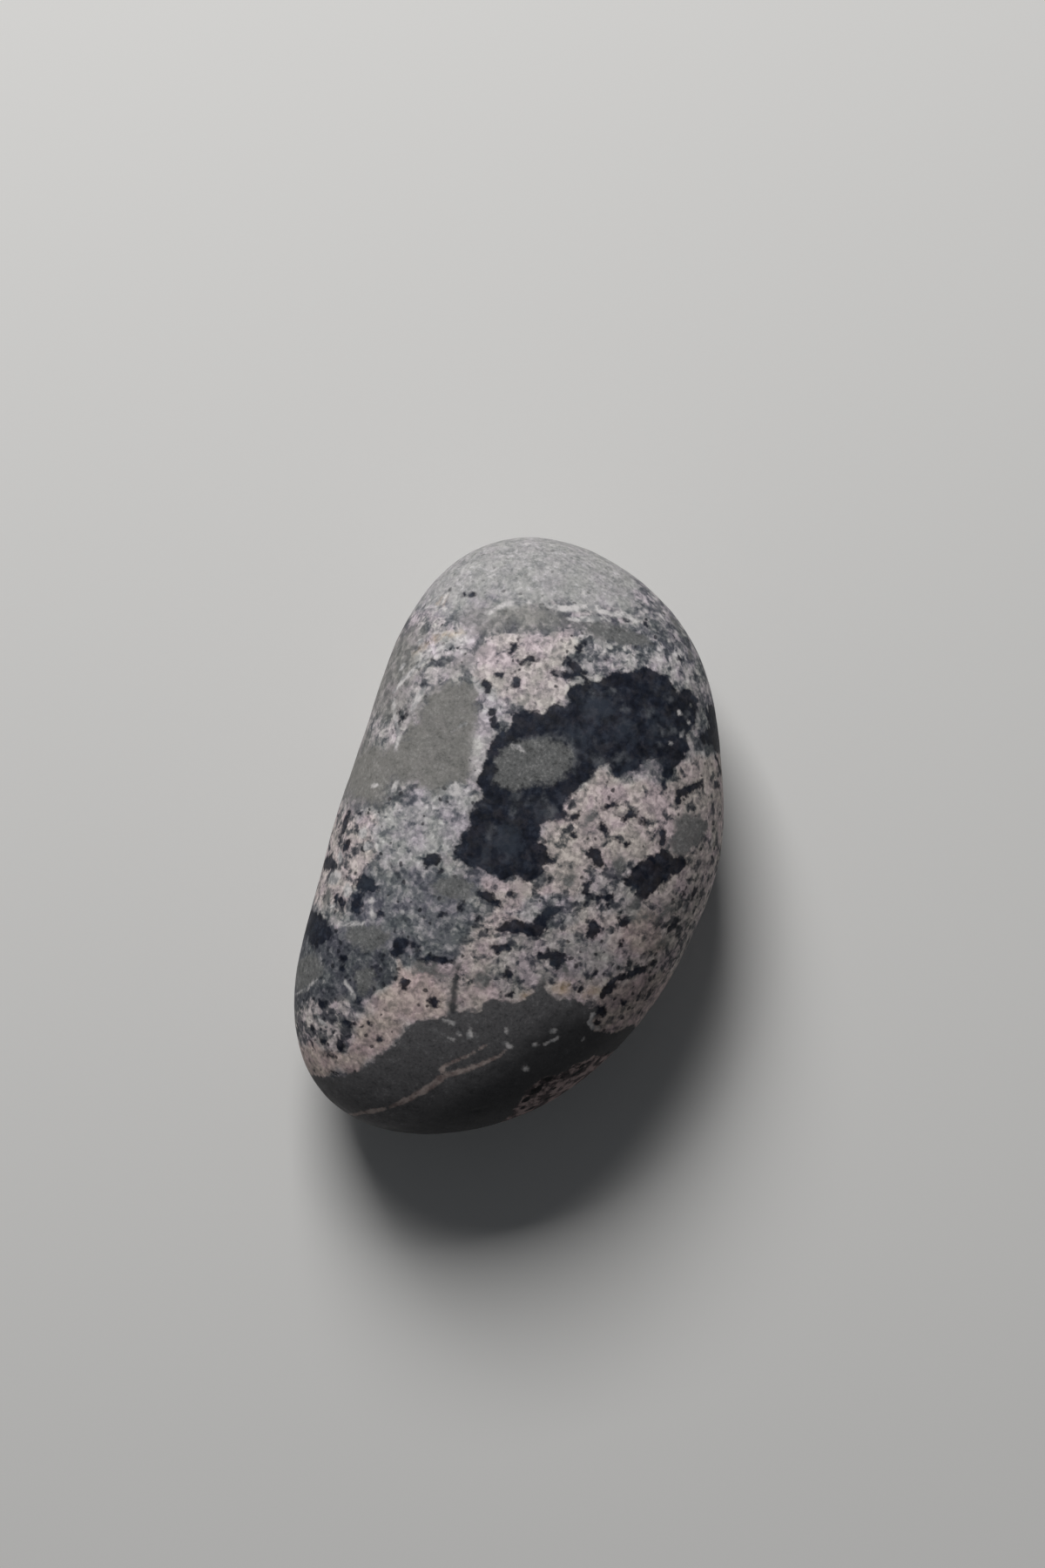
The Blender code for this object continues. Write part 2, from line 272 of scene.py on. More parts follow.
        (16.4, -26.0, 2.4, 1.0, 50), (14.1, -30.2, 2.4, 1.3, 50), (18.8, -23.2, 1.6, 0.7, 45),
        (16.4, -28.4, 2.6, 1.2, 50), (18.3, -26.0, 1.5, 0.7, 55), (14.4, -28.8, 0.9, 0.6, 30),
        (12.2, -32.4, 1.8, 0.9, 50), (19.6, -25.2, 1.4, 0.8, 80), (10.4, -34.6, 1.2, 0.5, 60),
        (17.2, -30.0, 1.6, 1.1, 20), (19.4, -22.2, 0.9, 0.5, 45), (15.4, -25.6, 0.8, 0.5, 40),
    )},
    "clot": {"streaks": (
        # wavy pale veins under the top end
        ((-8.6, 32.9, 0.4), (-7.4, 32.6, 0.7), (-5.6, 32.8, 1.0), (-4.2, 33.3, 1.0), (-2.9, 33.9, 0.8),
         (-1.3, 34.3, 1.0), (0.6, 34.3, 1.1), (2.4, 34.8, 0.8), (4.6, 34.4, 0.4)),
        ((-4.6, 31.9, 0.4), (-3.0, 32.3, 0.7), (-1.6, 32.8, 0.7), (-0.4, 33.3, 0.6), (0.8, 33.6, 0.4)),
        ((-15.0, 28.9, 0.3), (-14.4, 29.8, 0.5), (-13.2, 30.9, 0.6), (-11.6, 31.7, 0.5),
         (-10.0, 32.3, 0.3)),
        ((12.3, -21.6, 0.2), (12.6, -22.2, 0.3), (11.9, -22.9, 0.3), (11.2, -23.5, 0.2)),
        ((-20.3, -17.4, 0.5), (-18.6, -16.6, 0.6), (-17.0, -15.9, 0.4)),
        ((-14.6, 12.1, 0.2), (-13.6, 13.3, 0.3), (-12.8, 14.1, 0.2)),
        ((-6.4, 13.0, 0.3), (-5.4, 13.3, 0.4), (-4.3, 12.8, 0.2)),
        ((-17.0, -24.4, 0.4), (-15.9, -25.2, 0.6), (-15.3, -26.1, 0.5)),
        ((-22.8, -28.4, 0.3), (-21.6, -26.8, 0.4), (-20.8, -25.4, 0.4)),
        ((-19.6, -29.0, 0.3), (-18.6, -30.4, 0.5), (-17.4, -30.8, 0.3)),
        ((16.0, -17.7, 0.5), (15.9, -18.6, 0.5), (16.5, -19.3, 0.5), (17.3, -19.2, 0.4)),
        ((-23.3, 13.8, 0.3), (-22.4, 11.8, 0.5), (-21.0, 9.4, 0.6), (-20.8, 7.4, 0.4)),
        ((-23.6, 14.8, 0.2), (-22.8, 16.8, 0.6), (-21.6, 19.2, 0.5), (-20.9, 20.6, 0.2)),
        ((-20.2, 21.8, 0.2), (-19.2, 22.8, 0.7), (-17.8, 23.7, 0.6), (-16.6, 24.2, 0.3)),
        ((-19.8, 16.9, 0.4), (-20.2, 15.2, 0.8), (-20.6, 13.4, 0.5)),
    ), "spots": (
        (11.8, -21.5, 1.1, 0.7, 0), (5.7, -23.5, 0.6, 0.6, 0), (6.6, -25.3, 1.4, 0.7, 170),
        (9.8, -27.5, 0.9, 0.7, 0), (10.0, -24.1, 0.6, 0.5, 0), (1.1, -25.5, 1.0, 0.7, 100),
        (-0.3, -25.9, 0.9, 0.6, 120), (-0.9, -27.0, 0.9, 0.4, 0), (-1.9, -24.9, 1.4, 0.5, 0),
        (15.9, -21.2, 0.5, 0.5, 0), (13.8, 24.6, 0.9, 0.8, 0), (-11.4, 5.0, 2.2, 2.0, 20),
        (-11.9, -3.4, 1.0, 0.9, 0), (-20.1, -6.1, 1.4, 1.1, 0), (-21.4, -4.6, 1.6, 1.4, 0),
        (-23.0, -11.6, 3.0, 2.0, 20), (-20.8, -12.6, 1.8, 1.3, 100), (-23.2, -8.6, 1.6, 0.9, 130),
        (-16.5, -14.6, 1.5, 0.6, 120), (-17.3, -12.8, 0.8, 0.7, 0), (-19.4, 2.4, 1.8, 0.6, 80),
        (-21.8, 2.0, 1.2, 0.6, 20), (-18.5, -9.2, 1.2, 0.5, 0), (-9.3, -15.2, 1.0, 0.6, 120),
        (-22.0, -15.3, 1.6, 0.4, 10), (-12.9, -12.9, 0.7, 0.5, 0), (-21.3, 28.8, 2.8, 0.9, 85),
        (-20.7, 27.5, 0.9, 0.6, 0), (-9.6, 37.4, 0.8, 0.6, 0), (-3.4, 35.7, 0.9, 0.6, 0),
        (-15.8, 34.2, 1.2, 0.7, 40), (-13.4, 39.4, 2.0, 0.6, 20), (5.6, 38.2, 1.6, 0.6, 140),
        (7.5, 36.0, 1.2, 0.6, 140), (16.4, 24.8, 1.2, 0.5, 120), (17.0, 26.8, 0.9, 0.4, 120),
        (16.5, 22.4, 0.8, 0.5, 60), (15.4, 23.9, 0.6, 0.5, 0), (15.1, 22.1, 0.9, 0.5, 60),
        (13.9, 20.4, 0.7, 0.5, 0), (15.0, 26.1, 0.6, 0.5, 0), (-22.4, 22.4, 0.9, 0.6, 60),
        (-23.6, 18.4, 1.0, 0.5, 70), (23.6, 9.6, 0.8, 0.4, 90), (24.2, 4.4, 0.7, 0.4, 90),
        (23.0, 0.2, 0.8, 0.5, 60), (23.4, -1.6, 0.6, 0.4, 0),
    )},
    "smudge": {"streaks": (
        # soft grey specks within the dark patches
        ((-5.4, 14.2, 0.3), (-3.2, 15.2, 0.6), (-0.8, 16.2, 0.9), (1.0, 16.0, 0.9),
         (2.4, 14.6, 0.6), (2.8, 12.6, 0.4)),
        ((11.6, 22.0, 0.4), (12.8, 21.4, 0.7), (14.0, 22.2, 0.5)),
    ), "spots": (
        (9.9, 23.4, 0.8, 0.7, 0), (8.1, 16.2, 2.0, 1.2, 20), (-3.4, 6.7, 1.2, 1.2, 0),
        (-5.1, 1.1, 0.9, 0.9, 0), (1.5, 6.3, 1.8, 1.6, 90), (-3.1, 4.9, 1.4, 0.8, 90),
        (0.4, 7.6, 0.9, 0.6, 0), (-1.4, 7.0, 0.8, 0.7, 0), (12.6, 17.0, 2.2, 1.4, 20),
        (5.6, 15.0, 1.6, 1.0, 0), (13.2, 19.6, 0.9, 0.6, 0), (2.0, 23.4, 0.7, 0.6, 0),
        (14.8, 25.0, 1.4, 0.8, 60), (12.0, 26.0, 0.8, 0.5, 0), (4.4, 24.6, 1.0, 0.7, 0),
        (6.6, 22.6, 0.7, 0.5, 0),
    )},
    "end": {"outlines": (
        # calm pale grey of the top end
        ((-24.0, 27.0), (-19.0, 29.0), (-14.0, 32.0), (-7.0, 33.4), (-1.0, 35.0), (2.6, 36.0), (2.0, 42.0),
         (-8.0, 47.0), (-22.0, 44.0), (-30.0, 34.0)),
    )},
    "haze": {"spots": (
        # soft blue-grey clouds within the dark patches
        (12.2, 23.0, 2.4, 1.4, 0), (11.3, 21.3, 1.6, 2.2, 0), (3.2, 21.8, 4.0, 3.0, 20),
        (1.8, 17.6, 3.2, 2.6, 0), (12.8, 16.4, 2.6, 1.8, 10), (9.6, 15.6, 1.8, 1.4, 0),
        (-2.2, 0.4, 3.6, 4.4, 0), (-4.8, -2.5, 1.7, 1.6, 0), (8.4, -13.6, 1.8, 1.4, 0),
        (6.2, -6.2, 1.8, 1.2, 40), (15.3, 21.8, 1.2, 1.6, 0), (0.6, 5.5, 1.6, 1.2, 0),
        (-18.4, -11.0, 1.6, 1.2, 0), (8.7, -22.5, 1.8, 2.2, 0), (1.6, -23.8, 2.6, 1.4, 40),
        (7.0, 20.0, 3.0, 2.0, 0),
    )},
    "ochre": {"streaks": (
        ((-22.6, 20.6, 0.1), (-20.8, 23.2, 0.2), (-19.4, 24.4, 0.2), (-17.6, 25.2, 0.1)),
    ), "spots": (
        (11.1, -15.6, 2.0, 1.4, 30), (15.0, -14.8, 2.2, 1.0, 20), (6.6, -18.2, 1.6, 1.0, 40),
        (-21.4, 28.6, 1.4, 0.9, 80),
    )},
    "crack": {"streaks": (
        ((-3.2, -17.6, 0.5), (-2.8, -20.6, 0.9), (-2.0, -23.4, 0.7)),
        ((-5.9, 26.0, 0.3), (-5.6, 25.2, 0.4), (-5.0, 24.2, 0.3)),
        ((-16.6, -7.2, 0.3), (-15.6, -7.9, 0.4), (-14.6, -8.7, 0.3)),
        ((-21.6, -9.0, 0.3), (-21.2, -10.3, 0.4)),
    )},
}

# The ground between the marks, painted on in this order. Each area has the share of pale grains, how
# much pale and dark differ, how warm the pale ones are, how many small dark dots there are, and its outline.
groundParts = ("pale", "contrast", "warm", "dots")
groundBase = (0.45, 0.6, 0.2, 0.3)
ground = (
    # top end, and its mottled right side
    (0.70, 0.40, 0.0, 0.3, (
        (-30, 24), (-17, 25), (-13, 31), (-7, 33), (3, 35), (4, 46), (-30, 46))),
    (0.48, 0.60, 0.1, 0.4, (
        (2, 33), (8, 32), (13, 31), (17, 28), (24, 30), (14, 44), (3, 46))),
    # right flank beside the great dark patch
    (0.40, 0.85, 0.0, 0.3, (
        (-2, 30.6), (8, 31), (16, 29), (17, 19), (22, 20), (30, 18), (22, 33), (13, 32), (4, 33))),
    # left flank
    (0.60, 0.75, 0.2, 0.2, (
        (-30, 4), (-22, 6), (-19, 13), (-18, 18), (-14, 21), (-14, 25), (-17, 26), (-22, 27), (-30, 24))),
    (0.70, 1.10, 0.1, 0.3, (
        (-23.4, 18.0), (-22.2, 21.6), (-19.0, 24.6), (-15.4, 25.4), (-15.0, 22.6), (-18.2, 21.8),
        (-21.2, 18.6))),
    (0.72, 0.90, 0.2, 0.2, (
        (-23.6, 15.6), (-21.6, 17.4), (-20.0, 15.8), (-20.6, 11.0), (-21.8, 8.2), (-23.2, 9.4))),
    # cream ground under the lens, and the cream down both sides of the dark patch's shoulder
    (0.97, 1.0, 0.45, 0.2, (
        (-13.8, 24.6), (-13.6, 26.2), (-10.0, 27.6), (-7.6, 28.0), (-5.4, 30.0), (-4.0, 31.0),
        (-2.8, 29.6), (-2.9, 25.0), (-0.8, 21.4), (-3.0, 19.2), (-7.2, 18.2), (-10.2, 19.2),
        (-14.4, 19.8))),
    (0.62, 0.9, 0.1, 0.2, (
        (-2.0, 30.4), (4.4, 30.8), (12.0, 31.4), (17.6, 28.6), (12.8, 27.0), (5.8, 28.0), (-1.0, 25.4))),
    (0.86, 0.8, 0.0, 0.2, (
        (-14.4, 20.0), (-10.6, 19.6), (-9.0, 17.0), (-9.4, 14.6), (-11.6, 15.2), (-12.6, 17.2),
        (-14.2, 19.0))),
    (1.05, 0.4, 0.1, 0.0, (
        (-11.6, 15.2), (-10.4, 15.4), (-9.3, 12.6), (-8.9, 8.0), (-10.2, 7.4), (-10.9, 9.6),
        (-11.3, 12.4))),
    # the great cream ground on the right, down to the slate
    (0.77, 1.05, 0.65, 0.25, (
        (3.0, 8.6), (5.6, 13.0), (14.6, 14.6), (17.0, 20.0), (21.5, 21.0), (30, 10), (32, -12), (24, -19),
        (16.8, -20.0), (13, -16.8), (7, -19), (1.6, -22.5), (-3.2, -24.2), (-10, -20), (-3.5, -15.5),
        (-1.5, -9.0), (-4.0, -5.6), (3.4, -2.2), (1.2, 3.4))),
    (0.62, 0.85, 0.4, 0.2, (
        (1.0, -10.6), (6.4, -9.0), (10.4, -11.6), (9.4, -15.0), (6.6, -18.6), (2.6, -19.4),
        (0.6, -16.0))),
    (0.48, 0.8, 0.1, 0.3, (
        (0.4, -8.0), (2.6, -5.4), (5.4, -4.6), (8.2, -3.4), (10.0, -5.0), (8.6, -7.6), (7.0, -9.2),
        (3.0, -8.4))),
    (0.56, 1.0, 0.3, 0.3, (
        (9.0, 1.0), (15.0, 3.6), (17.8, -1.6), (17.0, -3.8), (13.8, -4.6), (9.0, -4.0))),
    (0.70, 0.7, 0.3, 0.6, (
        (9.0, -8.4), (15.2, -6.8), (17.4, -10.8), (14.4, -13.6), (10.0, -13.4), (6.6, -10.6))),
    (0.62, 0.95, 0.6, 0.7, (
        (22.0, 14.0), (23.0, 6.0), (20.6, 2.0), (20.4, -3.0), (22.6, -10.0), (32.0, -14.0),
        (34.0, 12.0))),
    (0.70, 0.50, 1.1, 0.95, (
        (16.0, -15.0), (18.0, -12.6), (21.4, -10.0), (26.0, -8.0), (30, -14), (22, -20), (15.6, -20.4))),
    (0.80, 0.8, 1.3, 0.5, (
        (16.8, -4.6), (18.2, -2.6), (20.4, -3.2), (21.6, -6.0), (20.2, -8.4), (17.8, -8.0))),
    # lilac ground left of the dark patch, then down the left flank
    (0.72, 0.55, 0.0, 0.3, (
        (-16.8, 3.6), (-13.0, 4.6), (-8.4, 6.6), (-8.2, -3.4), (-13.0, -7.4), (-20.0, -7.0),
        (-22.6, -1.6), (-18.6, 0.0))),
    (0.69, 1.0, 0.55, 0.5, (
        (-26.0, -2.0), (-20.4, -2.2), (-19.0, -8.6), (-20.4, -15.6), (-27.0, -15.4))),
    # grey bands
    (0.40, 0.35, 0.0, 0.4, (
        (-19.0, -9.0), (-10.0, -5.4), (-4.4, -5.2), (-3.0, -10.8), (-3.6, -16.4), (-9.0, -19.4),
        (-21.0, -20.0), (-19.4, -13.8))),
    (0.10, 0.95, 0.1, 0.6, (
        (-28.0, -19.0), (-18.0, -18.4), (-12.0, -20.0), (-12.8, -24.8), (-17.0, -26.4), (-21.4, -30.8),
        (-28.0, -29.0))),
    # pink ground along the slate, and its speckled left end
    (1.04, 0.85, 1.0, 0.5, (
        (-11.4, -19.4), (-5.4, -20.3), (-2.8, -21.0), (-2.6, -24.2), (-8.0, -27.4), (-10.4, -33.6),
        (-16.0, -38.4), (-22.5, -36.0), (-19.6, -33.6), (-14.2, -33.6), (-14.6, -28.0), (-12.6, -25.8),
        (-11.8, -23.6))),
    (0.50, 1.0, 0.4, 0.8, (
        (-20.6, -27.4), (-16.0, -26.6), (-13.4, -29.6), (-13.8, -33.8), (-19.4, -33.8), (-22.6, -31.4))),
    (0.95, 0.7, 0.8, 0.2, (
        (-1.6, -19.0), (1.6, -17.0), (3.2, -19.4), (0.6, -21.8), (-2.2, -22.8))),
)

# The same for the hidden underside, seen as if through the stone.
underMarks = {
    "navy": {"grow": 0.12, "outlines": (
        ((-16.0, 20.0), (-14.4, 22.6), (-11.6, 23.0), (-10.0, 25.6), (-7.4, 26.4), (-5.2, 24.6),
         (-5.6, 21.4), (-3.6, 18.6), (-0.8, 18.2), (1.2, 15.6), (4.2, 16.6), (7.6, 16.0), (9.2, 13.4),
         (11.8, 12.2), (11.0, 9.6), (7.8, 8.8), (5.0, 10.8), (2.6, 10.2), (0.6, 12.2), (-3.0, 11.6),
         (-5.4, 12.4), (-6.6, 15.2), (-9.8, 14.4), (-13.0, 15.0), (-14.2, 17.8)),
        ((-20.6, -9.2), (-18.4, -7.0), (-15.2, -7.4), (-12.6, -9.6), (-9.4, -10.2), (-8.2, -12.4),
         (-10.6, -14.0), (-13.8, -13.6), (-16.0, -15.2), (-18.8, -13.8), (-20.8, -11.8)),
        ((12.4, -2.0), (14.6, 0.6), (17.4, 2.0), (19.8, 4.6), (21.2, 3.2), (19.6, 0.4), (17.0, -1.2),
         (15.0, -3.4), (12.8, -3.8)),
        ((-2.0, -9.6), (0.6, -8.4), (2.6, -6.8), (5.4, -6.4), (7.6, -4.8), (6.4, -7.2), (4.0, -8.8),
         (1.2, -10.2)),
    ), "streaks": (
        ((11.0, 9.0, 0.5), (13.2, 10.4, 0.9), (15.8, 10.2, 0.4)),
        ((-8.4, -21.0, 0.4), (-5.6, -20.2, 0.9), (-2.4, -20.6, 0.5)),
        ((-19.6, 9.6, 0.5), (-17.8, 11.2, 1.0), (-16.8, 13.0, 0.5)),
    ), "spots": (
        (-18.0, 5.6, 2.2, 1.2, 40), (14.2, 13.4, 1.8, 1.1, 110), (-9.4, 5.6, 1.6, 1.0, 30),
        (-5.8, 6.8, 1.2, 0.8, 0), (8.4, 5.2, 2.0, 1.0, 150), (10.6, -12.2, 2.4, 1.3, 20),
        (5.2, -14.4, 1.3, 0.9, 70), (17.8, 16.2, 1.6, 0.8, 60), (-12.6, -17.4, 1.9, 1.2, 120),
        (-17.2, -20.6, 1.4, 1.0, 0), (0.6, -11.8, 1.4, 1.0, 45), (8.2, 20.6, 1.5, 0.9, 80),
        (-7.6, 30.8, 1.2, 0.7, 30), (3.4, 30.4, 1.6, 0.8, 140),
    )},
    "sage": {"outlines": (
        ((-20.6, 24.0), (-19.4, 26.4), (-16.8, 27.6), (-14.4, 26.6), (-13.0, 24.4), (-14.6, 22.6),
         (-17.2, 21.8), (-19.6, 22.2)),
        ((8.4, 25.0), (9.6, 27.2), (11.8, 27.8), (14.0, 26.4), (15.0, 24.0), (13.8, 21.8),
         (11.4, 21.2), (9.2, 22.6)),
    )},
    "moss": {"outlines": (
        ((-9.0, -14.4), (-6.4, -12.6), (-3.0, -12.4), (-0.6, -14.0), (-1.2, -17.0), (-4.4, -18.8),
         (-7.6, -17.8)),
    ), "streaks": (
        ((13.0, -9.0, 0.8), (16.0, -8.2, 1.6), (19.0, -6.8, 0.8)),
    ), "spots": (
        (-2.0, 3.0, 5.0, 2.6, 20), (19.0, 8.0, 2.6, 4.0, 0), (5.0, -10.6, 3.0, 1.8, 60),
        (-21.8, 3.0, 2.6, 5.0, 0), (-12.6, 3.2, 2.8, 1.8, 40), (11.8, 5.6, 2.2, 1.5, 100),
    )},
    "slate": {"outlines": (
        ((-24, -41), (-18, -36.5), (-14.6, -35.4), (-11.2, -31.6), (-7.4, -31), (-4, -28.6), (-1.2, -28),
         (1, -24.5), (5.2, -23.8), (8, -21.4), (11.4, -20.6), (14, -17), (18.2, -17.2), (22, -14.6),
         (34, -12), (40, -60), (-40, -60)),
    )},
    # painted shade on the underside's slate, darker on its side away from the light
    "paintedShade": {"outlines": (
        ((6, -30), (16, -22), (34, -14), (30, -60), (-10, -60)),
    )},
    "end": {"outlines": (
        ((-30, 30), (-18, 29), (-8, 33.4), (2, 36), (4, 46), (-30, 46)),
    )},
    "vein": {"streaks": (
        ((-6.0, -33.4, 0.4), (-3.4, -31.4, 0.7), (-0.8, -31.0, 0.6), (2.2, -28.8, 0.9), (5.4, -28.0, 0.8),
         (8.6, -25.2, 0.6), (11.8, -24.6, 0.4)),
        ((2.2, -28.8, 0.4), (4.4, -26.0, 0.5), (5.4, -24.6, 0.3)),
    )},
    "clot": {"streaks": (
        ((-24.0, 14.0, 0.4), (-19.0, 16.6, 0.7), (-16.4, 20.4, 0.4)),
        ((-5.0, 30.6, 0.4), (-1.0, 32.4, 0.8), (3.6, 32.6, 0.4)),
    ), "spots": (
        (-7.6, 16.6, 1.4, 0.8, 30), (2.0, 13.4, 1.0, 0.8, 0), (-12.4, -11.6, 0.9, 0.7, 0),
    )},
    "haze": {"spots": (
        (-10.0, 18.4, 5.0, 2.6, 150), (4.0, 13.2, 3.4, 2.2, 0),
    )},
    "ochre": {"spots": (
        (3.2, -17.0, 2.2, 1.4, 20), (-11.0, 9.2, 1.6, 1.0, 60),
    )},
}
underGround = (
    (0.80, 1.0, 0.4, 0.2, (
        (-60, -60), (60, -60), (60, 60), (-60, 60))),
    (0.44, 0.5, 0.0, 0.3, (
        (-30, 2), (-20, 6), (-12, 4), (-2, 7), (8, 8), (18, 14), (30, 16), (30, 6), (16, 3), (8, -1),
        (-2, -3), (-10, -1), (-18, -4), (-30, -8))),
    (0.62, 0.7, 0.2, 0.4, (
        (-12, 26), (-2, 27), (8, 30), (20, 22), (30, 20), (22, 36), (8, 44), (-8, 34))),
    (0.72, 0.4, 0.0, 0.3, (
        (-30, 24), (-16, 26), (-8, 31), (4, 35), (6, 46), (-30, 46))),
    (1.00, 0.9, 1.0, 0.4, (
        (-30, -36), (-20, -28), (-12, -24), (-4, -22), (2, -18), (12, -12), (30, -6), (30, -16),
        (14, -19), (0, -26), (-12, -34), (-24, -42))),
)


def roundedForm():
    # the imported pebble, its triangles merged and rounded off, as a form to lay the fine skin on
    merged = bmesh.new()
    merged.from_mesh(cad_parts["pebble"].data)
    bmesh.ops.remove_doubles(merged, verts=merged.verts, dist=0.01 * mm)
    mesh = bpy.data.meshes.new("roundedForm")
    merged.to_mesh(mesh)
    merged.free()
    form = bpy.data.objects.new("roundedForm", mesh)
    bpy.context.scene.collection.objects.link(form)
    rounder = form.modifiers.new("round", "SUBSURF")
    rounder.levels = rounder.render_levels = 2
    bpy.context.view_layer.update()
    smooth = bmesh.new()
    smooth.from_object(form, bpy.context.evaluated_depsgraph_get())
    tree = BVHTree.FromBMesh(smooth)
    smooth.free()
    bpy.data.objects.remove(form)
    bpy.data.meshes.remove(mesh)
    return tree


def fineSkin(form):
    # an even cube, cast outwards onto the form
    skin = bmesh.new()
    bmesh.ops.create_cube(skin, size=2.0)
    bmesh.ops.subdivide_edges(skin, edges=skin.edges, cuts=stone["rows"] - 1, use_grid_fill=True)
    low, high = (Vector(corner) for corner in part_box("pebble"))
    half = (high - low) / 2
    middle = Vector(stone["middle"]) * mm
    for vertex in skin.verts:
        even = Vector(math.tan(part * math.pi / 4) for part in vertex.co).normalized()
        even.z += stone["crowding"]
        vertex.co = form.ray_cast(middle, even.normalized() * half)[0]
    bmesh.ops.recalc_face_normals(skin, faces=skin.faces)
    return skin


def chartOf(points, normals):
    # where points of the stone show from the camera, with the flanks laid out flat around that view
    height = points[:, 2]
    aim = np.array(view["aim"])
    spread = view["distance"] / (view["distance"] - (height - stone["widest"]))
    seen = aim + (points[:, :2] - aim) * spread[:, None]
    sideways = normals[:, :2] / np.maximum(np.linalg.norm(normals[:, :2], axis=1), 0.05)[:, None]
    below = stone["crown"] - height
    reach = stone["unrolled"] * below**2 / (stone["crown"] - stone["widest"])
    return seen + sideways * reach[:, None]


def laidOn(form, x, y):
    # the chart's place for a mark that shows at x, y from the camera
    aim = Vector((*view["aim"], stone["widest"] + view["distance"]))
    shown = Vector((x, y, stone["widest"]))
    place, normal, _, _ = form.ray_cast(aim * mm, (shown - aim).normalized())
    beyond = Vector((0, 0))
    if place is None:
        place, normal, _, _ = form.find_nearest(shown * mm)
        beyond = (shown - place / mm).xy
    flat = chartOf(np.array([place / mm]), np.array([normal]))[0]
    return flat[0] + beyond.x, flat[1] + beyond.y


def outlineField(flat, outline):
    # distance from a closed outline, positive inside it
    corners = np.array(outline, float)
    nearest = np.full(len(flat), 1e6)
    inside = np.zeros(len(flat), bool)
    for start, end in zip(corners, np.roll(corners, -1, axis=0)):
        along = end - start
        step = np.clip((flat - start) @ along / (along @ along), 0, 1)
        nearest = np.minimum(nearest, np.linalg.norm(flat - start - step[:, None] * along, axis=1))
        crosses = (start[1] > flat[:, 1]) != (end[1] > flat[:, 1])
        rise = along[1] if abs(along[1]) > 1e-9 else 1e-9
        inside ^= crosses & (flat[:, 0] < start[0] + along[0] * (flat[:, 1] - start[1]) / rise)
    return np.where(inside, nearest, -nearest)


def streakField(flat, line):
    # the same for a line whose width changes from point to point
    field = np.full(len(flat), -1e6)
    for start, end in zip(line, line[1:]):
        begin = np.array(start[:2])
        along = np.array(end[:2]) - begin
        step = np.clip((flat - begin) @ along / (along @ along), 0, 1)
        gap = np.linalg.norm(flat - begin - step[:, None] * along, axis=1)
        width = start[2] + (end[2] - start[2]) * step
        field = np.maximum(field, width / 2 - gap)
    return field


def spotField(flat, spot):
    # the same for an oval
    x, y, length, width, turn = spot
    angle = math.radians(turn)
    offset = flat - np.array((x, y))
    along = offset[:, 0] * math.cos(angle) + offset[:, 1] * math.sin(angle)
    across = offset[:, 1] * math.cos(angle) - offset[:, 0] * math.sin(angle)
    return (1 - np.hypot(along / length, across / width) * 2) * width / 2


def markField(flat, kind, place):
    # all marks of one mineral together. place gives each mark its spot on the chart.
    field = np.full(len(flat), -stone["far"])
    for outline in kind.get("outlines", ()):
        field = np.maximum(field, outlineField(flat, [place(x, y) for x, y in outline]))
    for line in kind.get("streaks", ()):
        field = np.maximum(field, streakField(flat, [(*place(x, y), width) for x, y, width in line]))
    for x, y, length, width, turn in kind.get("spots", ()):
        field = np.maximum(field, spotField(flat, (*place(x, y), length, width, turn)))
    return np.clip(field + kind.get("grow", 0.0), -stone["far"], stone["far"])


def eased(value, low, high):
    step = np.clip((value - low) / (high - low), 0, 1)
    return step * step * (3 - 2 * step)


def groundFields(points, chart, areas, place):
    # the parts of the ground, painted on area by area, whose edges are led astray a little
    reach, length, soft = stone["groundEdge"]
    strayed = chart + reach * np.array([noise.noise_vector(point / length)[:2] for point in points])
    painted = np.tile(np.array(groundBase), (len(points), 1))
    for *parts, outline in areas:
        share = eased(outlineField(strayed, [place(x, y) for x, y in outline]), -soft, soft)
        painted += (parts - painted) * share[:, None]
    return painted


def paintMarks(mesh, form):
    # every mineral on the skin as a distance in millimetres, positive inside its marks
    count = len(mesh.vertices)
    points = np.empty(count * 3, np.float32)
    normals = np.empty(count * 3, np.float32)
    mesh.vertices.foreach_get("co", points)
    mesh.vertices.foreach_get("normal", normals)
    points = points.reshape(-1, 3).astype(float) / mm
    flat = chartOf(points, normals.reshape(-1, 3).astype(float))
    wander, length = stone["underEdge"]
    level = points[:, 2] + wander * np.array([noise.noise(point / length) for point in points])
    under = 1 - eased(level, stone["turnsUnder"][1], stone["turnsUnder"][0])

    def onTop(x, y):
        return laidOn(form, x, y)

    def plain(x, y):
        return x, y

    fields = {}
    for name, kind in marks.items():
        upper = markField(flat, kind, onTop)
        lower = markField(points[:, :2], underMarks.get(name, {}), plain)
        fields[name] = upper * (1 - under) + lower * under

    upper = groundFields(points, flat, ground, onTop)
    lower = groundFields(points, points[:, :2], underGround, plain)
    painted = upper * (1 - under)[:, None] + lower * under[:, None]
    fields.update(zip(groundParts, painted.T))
    scatterSpots(points, fields)
    return fields


strays = {
    "below": 15.0,  # height up to which stray grains lie
    # how many of each kind, and the smallest and largest radius
    "kinds": (("navy", 90, 0.2, 0.9), ("clot", 50, 0.2, 0.7), ("moss", 16, 0.8, 1.8)),
    "stretch": (0.6, 1.6),
}


